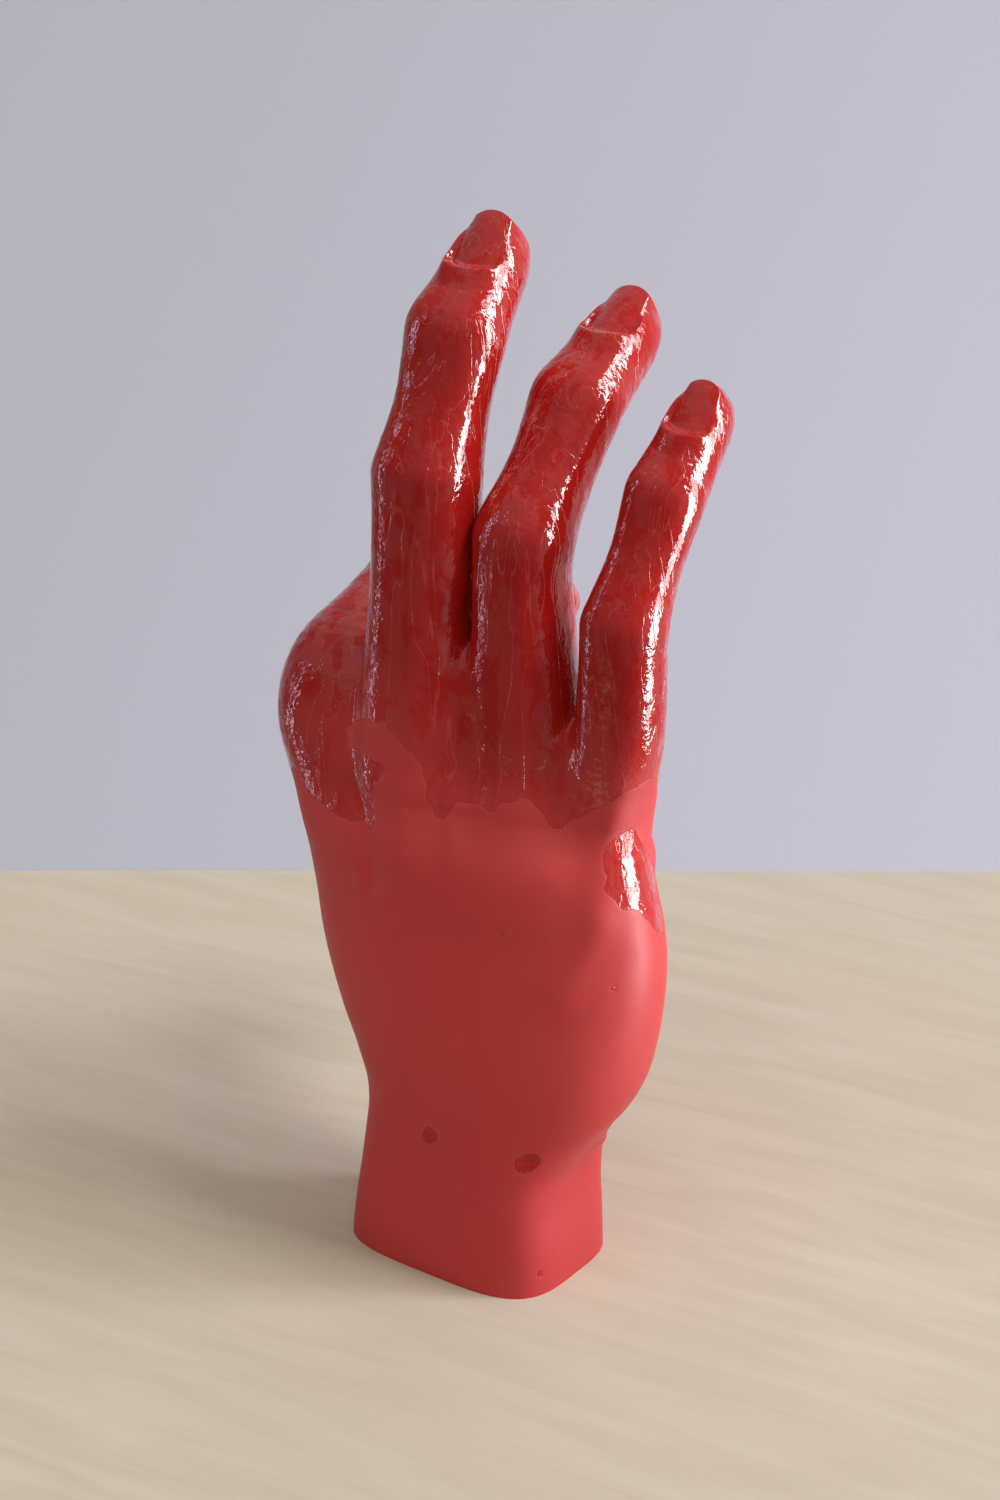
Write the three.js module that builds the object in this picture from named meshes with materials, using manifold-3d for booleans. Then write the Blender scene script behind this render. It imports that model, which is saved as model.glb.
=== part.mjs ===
// Hand figurine: a right hand standing on its cut wrist. The tips of the index finger and the thumb touch and
// the other three fingers are raised. It is cast in resin in six pieces: each digit is butted and glued to
// the palm on a steel dowel, and an iron slug low in the wrist, held in by a plug, keeps the hand standing.
// Millimetres. +Z is up and the origin is the centre of the base. +X is the little finger's side and the
// back of the hand faces -Y.
import * as THREE from "three";
import { mergeVertices } from "three/addons/utils/BufferGeometryUtils.js";
import Module from "manifold-3d";

const wasm = await Module();
wasm.setup();

// Clearances
const GLUE_GAP = 0.3;
const PINCH_GAP = 0.5;
const PINCH_LEAN = 0.35;
const ROOT_GAPS = { indexMiddle: 3.6, middleRing: 1.2, ringLittle: 1.9 };

// Wrist and palm: sections from the base up, each with its centre, breadth, depth and squareness, and the turn
// of the wrist against the palm
const BASE = { z: 0, x: -1, y: 0, breadth: 48.2, depth: 35.6, square: 3.8, turn: -8 };
const WRIST = { z: 18, x: -0.1, y: 0, breadth: 44.9, depth: 34.4, square: 3.8, turn: -8 };
const WAIST = { z: 25, x: 0.5, y: 0.6, breadth: 45.4, depth: 35, square: 3.4, turn: -6 };
const WAIST_HIGH = { z: 31, x: 2, y: 1.2, breadth: 48.9, depth: 36.1, square: 2.9, turn: -3 };
const HEEL_FOOT = { z: 36, x: 3.7, y: 1.9, breadth: 52.8, depth: 37.8, square: 2.6 };
const HEEL_LOW = { z: 42, x: 3.6, y: 2.5, breadth: 58.7, depth: 39.6, square: 2.4 };
const HEEL = { z: 50, x: 2.4, y: 2.9, breadth: 65, depth: 40.9, square: 2.3 };
const HEEL_HIGH = { z: 58, x: 1.4, y: 3, breadth: 69.5, depth: 41, square: 2.2 };
const PALM_LOW = { z: 66, x: 0.7, y: 2.9, breadth: 72.1, depth: 39.5, square: 2.2 };
const PALM = { z: 74, x: 0.2, y: 2.5, breadth: 72.6, depth: 37, square: 2.2 };
const PALM_HIGH = { z: 82, x: -0.5, y: 1.6, breadth: 71.9, depth: 34.4, square: 2.2 };
const PALM_TOP = { z: 90, x: -2.1, y: 1, breadth: 70.5, depth: 30, square: 2.2 };
const KNUCKLE_ROW = { x: -5, shift: 0.8, y: 1.5, depth: 22, square: 2.2, inset: 7.9, rise: 2, dome: 7 };
const PLUG_SQUARENESS = 2.3;

// The bones of the palm run from this height, drawn together by this share, to the knuckles
const PALM_BONES = { z: 58, y: 2, spread: 0.5 };

// Fingers: knuckle height and forward offset, lean and turn towards the little finger, and the three bones
// with the bend of the joint before each. The seat is where a digit is butted to the palm, measured along its
// centre line from the knuckle. Breadths and depths are given at the foot and the middle of the
// palm bone, the knuckle, the first bone, the middle joint, the middle bone, the end joint and the pad.
// Bow is the roundness of the free joints and tip that of the end, as shares of the breadth there, and
// square is how flat the back is.
const INDEX = {
  knuckle: { z: 112, y: 4 },
  lean: 0,
  yaw: 8,
  seat: 25,
  bow: 0.36,
  tip: 0.55,
  square: 2.7,
  bones: { first: 43, middle: 26, end: 23 },
  bends: { knuckle: 63, middle: 52, end: 25 },
  breadths: { foot: 16, palm: 19.4, knuckle: 24.8, root: 19.5, joint: 18.6, mid: 16.6, end: 16.4, pad: 15.2 },
  depths: { foot: 14, palm: 20, knuckle: 22, root: 18.5, joint: 17.5, mid: 15, end: 14.4, pad: 13 },
};
const MIDDLE = {
  knuckle: { z: 105, y: 0 },
  lean: 0,
  yaw: 8,
  seat: 28,
  bow: 0.2,
  tip: 0.75,
  square: 3.4,
  bones: { first: 55, middle: 26.5, end: 25 },
  bends: { knuckle: 2, middle: 18, end: 24 },
  breadths: { foot: 14, palm: 18, knuckle: 21.5, root: 19, joint: 19, mid: 17.4, end: 18.4, pad: 15 },
  depths: { foot: 12, palm: 18, knuckle: 22, root: 19, joint: 18, mid: 15.5, end: 15, pad: 13.5 },
};
const RING = {
  knuckle: { z: 99, y: 1 },
  lean: -1.1,
  yaw: 11,
  seat: 34,
  bow: 0.2,
  tip: 0.78,
  square: 3.3,
  bones: { first: 51, middle: 27.5, end: 25.2 },
  bends: { knuckle: 3, middle: 33, end: 20 },
  breadths: { foot: 14, palm: 17, knuckle: 20.5, root: 18.5, joint: 17.4, mid: 16, end: 17.2, pad: 14.4 },
  depths: { foot: 12, palm: 17, knuckle: 21, root: 18, joint: 17, mid: 14.5, end: 14, pad: 13 },
};
const LITTLE = {
  knuckle: { z: 96, y: 4 },
  lean: 4.5,
  yaw: 6.4,
  seat: 27,
  bow: 0.2,
  tip: 0.72,
  square: 3,
  bones: { first: 42, middle: 24.5, end: 22.5 },
  bends: { knuckle: -5, middle: 30, end: 17 },
  breadths: { foot: 12, palm: 13, knuckle: 13, root: 15.6, joint: 14.8, mid: 13.6, end: 15, pad: 12.6 },
  depths: { foot: 11, palm: 14, knuckle: 18, root: 15.5, joint: 14.5, mid: 12.5, end: 12.5, pad: 11.5 },
};

// Thumb: its root joint and its knuckle stand on the palm, and its two free bones reach the index finger's
// tip. Breadths and depths run from the root joint as for the fingers.
const THUMB = {
  root: { x: -13, y: 9, z: 46 },
  knuckle: { x: -35, y: 29, z: 67 },
  seat: 11,
  bow: 0.36,
  tip: 0.55,
  square: 2.6,
  bones: { first: 33, end: 29 },
  breadths: { foot: 30, palm: 29, knuckle: 23, root: 19.5, joint: 20.5, pad: 17.5 },
  depths: { foot: 30, palm: 30, knuckle: 21.5, root: 18, joint: 16.5, pad: 14 },
};

// Nails, raised a little over the back of the end bone
const NAIL = { proud: 0.6, length: 13, setback: 1.5, step: 0.5, halfAngle: 45 };

// Dowels
const DOWEL = { diameter: 4, inPalm: 14, inDigit: 12 };

// Pocket in the wrist with its ballast and plug
const WALL = 5.5;
const POCKET_HEIGHT = 52;
const PLUG_THICKNESS = 5;

// Webs between the roots of the raised fingers: where they start and end, and their depths there
const WEBS = {
  middleRing: { low: 98, top: 126, depthLow: 15, depthTop: 11 },
  ringLittle: { low: 94, top: 119, depthLow: 14, depthTop: 10 },
};

// Roundness of the knuckles as a share of the breadth there, and squareness of the pads and the tips' backs
const KNUCKLE_BOW = 0.42;
const PAD_SQUARE = 2.15;
const TIP_SQUARE = 3.2;

// Fineness of the surfaces
const SIDES = 20;
const PALM_SIDES = 36;
const RING_STEP = 4.2;
const TIP_RINGS = 5;

// A closed solid through rings of points with the same number of points each
function loft(rings, pole) {
  const sides = rings[0].length;
  const points = rings.flat();
  const index = [];
  for (let i = 0; i < rings.length - 1; i += 1) {
    for (let j = 0; j < sides; j += 1) {
      const a = i * sides + j;
      const b = i * sides + ((j + 1) % sides);
      index.push(a, b, b + sides);
      index.push(a, b + sides, a + sides);
    }
  }
  for (let j = 1; j < sides - 1; j += 1) {
    index.push(0, j + 1, j);
  }
  const last = (rings.length - 1) * sides;
  if (pole) {
    points.push(pole);
    for (let j = 0; j < sides; j += 1) {
      index.push(last + j, last + ((j + 1) % sides), points.length - 1);
    }
  } else {
    for (let j = 1; j < sides - 1; j += 1) {
      index.push(last, last + j, last + j + 1);
    }
  }
  const geometry = new THREE.BufferGeometry().setFromPoints(points);
  geometry.setIndex(index);
  return geometry;
}

function solidOf(geometry) {
  const bare = geometry.clone();
  bare.deleteAttribute("normal");
  bare.deleteAttribute("uv");
  const merged = mergeVertices(bare, 1e-4);
  const mesh = new wasm.Mesh({
    numProp: 3,
    vertProperties: new Float32Array(merged.attributes.position.array),
    triVerts: new Uint32Array(merged.index.array),
  });
  return new wasm.Manifold(mesh);
}

function geometryOf(solid) {
  const mesh = solid.getMesh();
  const geometry = new THREE.BufferGeometry();
  geometry.setAttribute("position", new THREE.BufferAttribute(new Float32Array(mesh.vertProperties), 3));
  geometry.setIndex(new THREE.BufferAttribute(new Uint32Array(mesh.triVerts), 1));
  geometry.computeVertexNormals();
  return geometry;
}

// One point of a rounded-square section
function sectionPoint(angle, squareness) {
  const c = Math.cos(angle);
  const s = Math.sin(angle);
  const power = 2 / squareness;
  return [Math.sign(c) * Math.abs(c) ** power, Math.sign(s) * Math.abs(s) ** power];
}

function cylinder(from, to, radius) {
  const axis = new THREE.Vector3().subVectors(to, from);
  const geometry = new THREE.CylinderGeometry(radius, radius, axis.length(), 16);
  const up = new THREE.Vector3(0, 1, 0);
  geometry.applyQuaternion(new THREE.Quaternion().setFromUnitVectors(up, axis.clone().normalize()));
  const middle = new THREE.Vector3().addVectors(from, to).multiplyScalar(0.5);
  geometry.translate(middle.x, middle.y, middle.z);
  return geometry;
}

// Knuckles stand side by side, spaced by the breadths of the fingers at their roots
const FINGERS = { index: INDEX, middle: MIDDLE, ring: RING, little: LITTLE };
const row = Object.values(FINGERS);
const rootGaps = [ROOT_GAPS.indexMiddle, ROOT_GAPS.middleRing, ROOT_GAPS.ringLittle];
const rowSizes = [...row.map((finger) => finger.breadths.root), ...rootGaps];
const rowBreadth = rowSizes.reduce((sum, size) => sum + size, 0);
let edge = KNUCKLE_ROW.x - rowBreadth / 2;
row.forEach((finger, i) => {
  finger.knuckle.x = edge + finger.breadths.root / 2;
  edge += finger.breadths.root + (rootGaps[i] ?? 0);
});

// Joints of a finger from the foot of its palm bone to its tip
function fingerJoints(finger) {
  const lean = THREE.MathUtils.degToRad(finger.lean);
  const turned = new THREE.Matrix4().makeRotationZ(-THREE.MathUtils.degToRad(finger.yaw));
  const knuckle = new THREE.Vector3(finger.knuckle.x, finger.knuckle.y, finger.knuckle.z);
  const foot = new THREE.Vector3(knuckle.x * PALM_BONES.spread, PALM_BONES.y, PALM_BONES.z);
  const joints = [foot, knuckle];
  let bend = 0;
  const bends = Object.values(finger.bends);
  Object.values(finger.bones).forEach((bone, i) => {
    bend += THREE.MathUtils.degToRad(bends[i]);
    const along = new THREE.Vector3(
      Math.sin(lean) * Math.cos(bend),
      Math.sin(bend),
      Math.cos(lean) * Math.cos(bend),
    );
    along.applyMatrix4(turned);
    joints.push(joints[i + 1].clone().addScaledVector(along, bone));
  });
  const hinge = new THREE.Vector3(Math.cos(lean), 0, -Math.sin(lean)).applyMatrix4(turned);
  return { joints, hinge };
}

// Everything needed to loft a digit. Its centre line is straight along the bones and rounded at the joints,
// and its breadth and depth change smoothly between the joints and the middles of the bones.
function digitShape(joints, hinge, sized) {
  const breadths = Object.values(sized.breadths);
  const depths = Object.values(sized.depths);
  const path = new THREE.CurvePath();
  const places = [0];
  let from = joints[0];
  let reached = 0;
  for (let i = 1; i < joints.length - 1; i += 1) {
    const bend = breadths[2 * i] * (i === 1 ? KNUCKLE_BOW : sized.bow);
    const before = new THREE.Vector3().subVectors(joints[i - 1], joints[i]).setLength(bend).add(joints[i]);
    const after = new THREE.Vector3().subVectors(joints[i + 1], joints[i]).setLength(bend).add(joints[i]);
    const bone = new THREE.LineCurve3(from, before);
    const joint = new THREE.QuadraticBezierCurve3(before, joints[i], after);
    path.add(bone);
    path.add(joint);
    const place = reached + bone.getLength() + joint.getLength() / 2;
    places.push((places[places.length - 1] + place) / 2, place);
    reached += bone.getLength() + joint.getLength();
    from = after;
  }
  const last = new THREE.LineCurve3(from, joints[joints.length - 1]);
  path.add(last);
  const length = reached + last.getLength();
  places.push((places[places.length - 1] + length) / 2, length);
  const sizes = places.flatMap((place, i) => {
    const k = Math.min(i, breadths.length - 1);
    return [breadths[k], depths[k]];
  });
  const profile = new THREE.CubicInterpolant(places, sizes, 2);
  const round = sized.breadths.pad * sized.tip;
  return { path, hinge, length, profile, round, square: sized.square, knucklePlace: places[2] };
}

function digitFrame(digit, place) {
  const share = THREE.MathUtils.clamp(place / digit.length, 0, 1);
  const centre = digit.path.getPoint(share);
  const along = digit.path.getTangent(share);
  centre.addScaledVector(along, place - share * digit.length);
  const across = digit.hinge.clone().addScaledVector(along, -digit.hinge.dot(along)).normalize();
  const inward = new THREE.Vector3().crossVectors(along, across);
  return { centre, along, across, inward };
}

// One ring of a digit: its section, drawn in by the turn of the tip, with the nail raised on its back
function digitRing(digit, place, nailLift, turn) {
  const { centre, across, inward } = digitFrame(digit, place);
  const [breadth, depth] = digit.profile.evaluate(THREE.MathUtils.clamp(place, 0, digit.length));
  const side = Math.cos(turn);
  const back = (1 - Math.sin(turn) ** TIP_SQUARE) ** (1 / TIP_SQUARE);
  const ring = [];
  for (let j = 0; j < SIDES; j += 1) {
    const angle = (2 * Math.PI * j) / SIDES;
    const onBack = angle > Math.PI;
    const [u, v] = sectionPoint(angle, onBack ? digit.square : PAD_SQUARE);
    const fromBack = Math.abs(angle - 1.5 * Math.PI);
    const lift = fromBack < THREE.MathUtils.degToRad(NAIL.halfAngle) ? nailLift : 0;
    const point = centre.clone();
    point.addScaledVector(across, u * ((breadth / 2) * side + lift));
    point.addScaledVector(inward, v * ((depth / 2) * (onBack ? back : side) + lift));
    ring.push(point);
  }
  return ring;
}

// A digit from its butt face to its rounded tip, with the nail stepping up where it leaves the skin
function digitToTip(digit, from) {
  const shoulder = digit.length - digit.round;
  const nailEnd = digit.length - NAIL.setback;
  const nailStart = nailEnd - NAIL.length;
  const rings = [];
  const stretch = (low, high, nailLift) => {
    const count = Math.max(1, Math.round((high - low) / RING_STEP));
    for (let i = 0; i <= count; i += 1) {
      rings.push(digitRing(digit, low + ((high - low) * i) / count, nailLift, 0));
    }
  };
  stretch(from, nailStart, 0);
  stretch(nailStart + NAIL.step, shoulder, NAIL.proud);
  for (let i = 1; i <= TIP_RINGS; i += 1) {
    const turn = (Math.PI / 2) * (i / (TIP_RINGS + 1));
    const place = shoulder + digit.round * Math.sin(turn);
    rings.push(digitRing(digit, place, place < nailEnd ? NAIL.proud : 0, turn));
  }
  return loft(rings, digitFrame(digit, digit.length).centre);
}

// The root of a digit, which belongs to the palm, from inside the palm to the butt face
function digitRoot(digit) {
  const count = Math.max(2, Math.round(digit.seat / RING_STEP));
  const rings = [];
  for (let i = 0; i <= count; i += 1) {
    rings.push(digitRing(digit, (digit.seat * i) / count, 0, 0));
  }
  return loft(rings);
}

// The fingers, then the thumb, whose two free bones close on the tip of the index finger
const digits = {};
for (const [name, finger] of Object.entries(FINGERS)) {
  const { joints, hinge } = fingerJoints(finger);
  digits[name] = digitShape(joints, hinge, finger);
  digits[name].seat = digits[name].knucklePlace + finger.seat;
}

function thumbJoints() {
  const index = digits.index;
  const tip = digitFrame(index, index.length - index.round);
  const padRound = THUMB.breadths.pad * THUMB.tip;
  const apart = INDEX.depths.pad / 2 + padRound + PINCH_GAP;
  const side = tip.inward.clone().addScaledVector(tip.along, PINCH_LEAN).normalize();
  const target = tip.centre.clone().addScaledVector(side, apart);
  const root = new THREE.Vector3(THUMB.root.x, THUMB.root.y, THUMB.root.z);
  const knuckle = new THREE.Vector3(THUMB.knuckle.x, THUMB.knuckle.y, THUMB.knuckle.z);
  const line = new THREE.Vector3().subVectors(target, knuckle);
  const span = line.length();
  line.normalize();
  const first = THUMB.bones.first;
  const second = THUMB.bones.end - padRound;
  const open = (first * first + span * span - second * second) / (2 * first * span);
  const turn = Math.acos(THREE.MathUtils.clamp(open, -1, 1));
  const outward = new THREE.Vector3(-0.5, 0.4, -0.75);
  outward.addScaledVector(line, -outward.dot(line)).normalize();
  const joint = knuckle.clone();
  joint.addScaledVector(line, first * Math.cos(turn));
  joint.addScaledVector(outward, first * Math.sin(turn));
  const end = new THREE.Vector3().subVectors(target, joint).setLength(THUMB.bones.end).add(joint);
  const hinge = new THREE.Vector3().crossVectors(line, outward).normalize();
  return { joints: [root, knuckle, joint, end], hinge };
}

const thumb = thumbJoints();
digits.thumb = digitShape(thumb.joints, thumb.hinge, THUMB);
digits.thumb.seat = digits.thumb.knucklePlace + THUMB.seat;

// Palm and wrist
const UPWARD = new THREE.Vector3(0, 0, 1);
const topX = KNUCKLE_ROW.x + KNUCKLE_ROW.shift;

function palmProfile() {
  const topZ = Math.min(...row.map((finger) => finger.knuckle.z)) + KNUCKLE_ROW.rise;
  const wrist = [BASE, WRIST, WAIST, WAIST_HIGH, HEEL_FOOT, HEEL_LOW, HEEL, HEEL_HIGH];
  const sections = [...wrist, PALM_LOW, PALM, PALM_HIGH, PALM_TOP];
  const topBreadth = rowBreadth - 2 * KNUCKLE_ROW.inset;
  sections.push({ ...KNUCKLE_ROW, x: topX, z: topZ, breadth: topBreadth });
  const heights = sections.map((section) => section.z);
  const values = sections.flatMap((part) => {
    return [part.x, part.y, part.breadth, part.depth, part.square, part.turn ?? 0];
  });
  return { topZ, profile: new THREE.CubicInterpolant(heights, values, 6) };
}
const palm = palmProfile();

function palmRing(z, shrink, height) {
  const [x, y, breadth, depth, square, turn] = palm.profile.evaluate(THREE.MathUtils.clamp(z, 0, palm.topZ));
  const centre = new THREE.Vector3(x, y, height);
  const ring = [];
  for (let j = 0; j < PALM_SIDES; j += 1) {
    const [u, v] = sectionPoint((2 * Math.PI * j) / PALM_SIDES, square);
    const point = new THREE.Vector3(u * (breadth / 2) * shrink, v * (depth / 2) * shrink, 0);
    point.applyAxisAngle(UPWARD, THREE.MathUtils.degToRad(turn));
    ring.push(point.add(centre));
  }
  return ring;
}

function palmBody() {
  const rings = [];
  const count = Math.round(palm.topZ / RING_STEP);
  for (let i = 0; i <= count; i += 1) {
    const z = (palm.topZ * i) / count;
    rings.push(palmRing(z, 1, z));
  }
  for (let i = 1; i <= 3; i += 1) {
    const turn = (Math.PI / 2) * (i / 4);
    rings.push(palmRing(palm.topZ, Math.cos(turn), palm.topZ + KNUCKLE_ROW.dome * Math.sin(turn)));
  }
  return loft(rings, new THREE.Vector3(topX, KNUCKLE_ROW.y, palm.topZ + KNUCKLE_ROW.dome));
}

// Where a digit's centre line passes a height above its knuckle
function centreAt(digit, z) {
  let low = digit.knucklePlace;
  let high = digit.seat;
  for (let i = 0; i < 30; i += 1) {
    const middle = (low + high) / 2;
    if (digitFrame(digit, middle).centre.z < z) {
      low = middle;
    } else {
      high = middle;
    }
  }
  return digitFrame(digit, low).centre;
}

// A web fills the space between the centre lines of two neighbours and ends in a rounded edge
function webBody(one, other, web) {
  const rings = [];
  const count = 6;
  for (let i = 0; i <= count; i += 1) {
    const share = i / count;
    const z = web.low + (web.top - web.low) * share;
    const from = centreAt(one, z);
    const to = centreAt(other, z);
    const centre = new THREE.Vector3().addVectors(from, to).multiplyScalar(0.5);
    const half = from.distanceTo(to) / 2;
    const end = Math.sqrt(1 - Math.max(0, (share - 0.7) / 0.36) ** 2);
    const depth = (web.depthLow + (web.depthTop - web.depthLow) * share) * end;
    const ring = [];
    for (let j = 0; j < SIDES; j += 1) {
      const [u, v] = sectionPoint((2 * Math.PI * j) / SIDES, PAD_SQUARE);
      ring.push(new THREE.Vector3(centre.x + u * half, centre.y + (v * depth) / 2, z));
    }
    rings.push(ring);
  }
  return loft(rings);
}

// A straight-sided body inside the wrist, set in from its section by the wall
const core = {
  x: WRIST.x,
  y: WRIST.y,
  breadth: WRIST.breadth - 2 * WALL,
  depth: WRIST.depth - 2 * WALL,
};

function coreBody(from, to, inset) {
  const rings = [from, to].map((z) => {
    const ring = [];
    for (let j = 0; j < PALM_SIDES; j += 1) {
      const [u, v] = sectionPoint((2 * Math.PI * j) / PALM_SIDES, PLUG_SQUARENESS);
      const across = core.x + u * (core.breadth / 2 - inset);
      const forward = core.y + v * (core.depth / 2 - inset);
      ring.push(new THREE.Vector3(across, forward, z));
    }
    return ring;
  });
  return loft(rings);
}

// Materials: satin resin for the palm, glossy lacquered resin for the digits, steel, iron and a dark plug
function material(color, roughness, metalness) {
  return new THREE.MeshStandardMaterial({ color, roughness, metalness });
}
const group = new THREE.Group();
group.name = "hand_figurine";

function addPiece(name, solid, finish) {
  const mesh = new THREE.Mesh(geometryOf(solid), finish);
  mesh.name = name;
  group.add(mesh);
}

let palmSolid = solidOf(palmBody());
for (const digit of Object.values(digits)) {
  palmSolid = palmSolid.add(solidOf(digitRoot(digit)));
}
palmSolid = palmSolid.add(solidOf(webBody(digits.middle, digits.ring, WEBS.middleRing)));
palmSolid = palmSolid.add(solidOf(webBody(digits.ring, digits.little, WEBS.ringLittle)));
for (const [name, digit] of Object.entries(digits)) {
  const { centre, along } = digitFrame(digit, digit.seat);
  const low = centre.clone().addScaledVector(along, -DOWEL.inPalm);
  const high = centre.clone().addScaledVector(along, GLUE_GAP + DOWEL.inDigit);
  const boreLow = low.clone().addScaledVector(along, -GLUE_GAP);
  const boreHigh = high.clone().addScaledVector(along, GLUE_GAP);
  const bore = solidOf(cylinder(boreLow, boreHigh, DOWEL.diameter / 2 + GLUE_GAP));
  palmSolid = palmSolid.subtract(bore);
  const solid = solidOf(digitToTip(digit, digit.seat + GLUE_GAP)).subtract(bore);
  const label = name === "thumb" ? "thumb" : `${name}_finger`;
  addPiece(label, solid, material(0xa82a26, 0.12, 0));
  addPiece(`${name}_dowel`, solidOf(cylinder(low, high, DOWEL.diameter / 2)), material(0xb4b6b8, 0.35, 1));
}
palmSolid = palmSolid.subtract(solidOf(coreBody(-PLUG_THICKNESS, POCKET_HEIGHT, 0)));
addPiece("palm_casting", palmSolid, material(0xc24842, 0.45, 0));
const ballast = solidOf(coreBody(PLUG_THICKNESS + GLUE_GAP, POCKET_HEIGHT - GLUE_GAP, GLUE_GAP));
addPiece("ballast_slug", ballast, material(0x4a4846, 0.6, 1));
addPiece("base_plug", solidOf(coreBody(0, PLUG_THICKNESS, GLUE_GAP)), material(0x8c3a34, 0.6, 0));

export default group;
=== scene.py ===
import math

import bmesh
import bpy
import numpy as np
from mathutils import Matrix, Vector


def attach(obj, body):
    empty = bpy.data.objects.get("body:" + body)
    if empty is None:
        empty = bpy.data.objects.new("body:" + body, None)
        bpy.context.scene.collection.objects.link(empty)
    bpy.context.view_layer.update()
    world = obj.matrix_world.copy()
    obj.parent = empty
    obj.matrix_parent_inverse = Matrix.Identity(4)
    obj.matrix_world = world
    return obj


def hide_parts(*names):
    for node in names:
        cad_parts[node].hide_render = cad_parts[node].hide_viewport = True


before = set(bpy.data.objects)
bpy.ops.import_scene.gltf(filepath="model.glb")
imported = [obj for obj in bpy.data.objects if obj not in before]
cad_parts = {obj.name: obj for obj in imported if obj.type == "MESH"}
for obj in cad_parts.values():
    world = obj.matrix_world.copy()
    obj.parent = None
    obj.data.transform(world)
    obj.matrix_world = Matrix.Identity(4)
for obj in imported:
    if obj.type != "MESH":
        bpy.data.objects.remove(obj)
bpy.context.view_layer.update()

# Shapes are worked out in millimetres: +X little finger's side, -Y back of the hand, +Z up
MM = 0.001

# Skeleton and sizes, the same as the solids. A knuckle is given by its y and z, lean, yaw and bends are in
# degrees, and seat is the length from knuckle to seam. Breadths and depths run from inside the palm to the
# tip, at each joint and halfway to the next
FINGERS = {
    "index": dict(
        knuckle=(4, 112), lean=0, yaw=8, seat=25, bones=(43, 26, 23), bends=(63, 52, 25),
        breadths=(16, 19.4, 24, 19.5, 18.6, 16.6, 16.4, 15.2),
        depths=(14, 20, 22, 18.5, 17.5, 15, 14, 13)),
    "middle": dict(
        knuckle=(0, 105), lean=0, yaw=8, seat=28, bones=(55, 26.5, 23.5), bends=(2, 18, 24),
        breadths=(14, 18, 21.5, 19, 19, 17.4, 18.4, 15),
        depths=(12, 18, 22, 19, 18, 15.5, 15, 13.5)),
    "ring": dict(
        knuckle=(1, 99), lean=-1.1, yaw=11, seat=34, bones=(51, 27.5, 25.2), bends=(3, 33, 20),
        breadths=(14, 17, 20.5, 18.5, 17.4, 16, 17.2, 14.4),
        depths=(12, 17, 21, 18, 17, 14.5, 14, 13)),
    "little": dict(
        knuckle=(4, 96), lean=4.5, yaw=6.4, seat=27, bones=(42, 24.5, 22.5), bends=(-5, 30, 17),
        breadths=(12, 13, 13, 15.6, 14.8, 13.6, 14.2, 12.2),
        depths=(11, 14, 18, 15.5, 14.5, 12.5, 12.5, 11.5)),
}
ROOT_GAPS = (3.6, 1.2, 1.9, 0)
ROW_X = -5
PALM_FOOT = dict(y=2, z=58, spread=0.5)
THUMB = dict(
    root=(-13, 9, 46), knuckle=(-35, 29, 67), seat=11, bones=(33, 29), outward=(-0.5, 0.4, -0.75),
    breadths=(30, 29, 23, 19.5, 20.5, 17.5), depths=(30, 30, 21.5, 18, 16.5, 14))
PINCH_GAP, PINCH_LEAN = 0.5, 0.35
SEAM = 0.02
# How far a digit's root in the palm is drawn past the seat, and how far before the seat its blend has ended
ROOT_END = 1.5
JOINT_BEND = 0.42
TIP_ROUND = dict(index=0.55, middle=0.75, ring=0.78, little=0.72, thumb=0.55)
BORE_RADIUS, BORE_IN_PALM, BORE_IN_DIGIT = 2.3, 14.3, 12.6
POCKET = dict(x=-0.1, y=0, breadth=33.9, depth=23.4, height=52, squareness=2.3)

# Sections of wrist and palm: height, centre x and y, breadth, depth, squareness, turn in degrees
SECTIONS = np.array([
    (-8, -1.0, 0.0, 48.2, 35.2, 3.8, -8),
    (0, -1.0, 0.0, 48.2, 35.2, 3.8, -8),
    (9, -0.6, -0.1, 46.9, 34.7, 3.8, -8),
    (18, -0.1, 0.0, 44.9, 34.4, 3.8, -8),
    (25, 0.5, 0.6, 45.4, 35.0, 3.4, -6),
    (31, 2.0, 1.2, 48.9, 36.1, 2.9, -3),
    (36, 3.5, 1.9, 53.2, 37.8, 2.6, 0),
    (42, 3.6, 2.5, 58.7, 39.6, 2.4, 0),
    (50, 2.4, 2.9, 65.0, 40.9, 2.3, 0),
    (58, 1.4, 3.0, 69.5, 41.0, 2.2, 0),
    (66, 0.7, 2.9, 72.1, 39.5, 2.2, 0),
    (74, 0.2, 2.5, 72.6, 37.0, 2.2, 0),
    (82, -0.5, 1.6, 71.9, 34.4, 2.2, 0),
    (90, -2.1, 1.0, 70.5, 30.0, 2.2, 0),
    (98, -4.2, 1.5, 63.5, 22.0, 2.2, 0),
])
# Height of the rounded ends past the outermost sections, and fine steps along all sections
DOME, SECTION_STEPS = 7, 400

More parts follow.
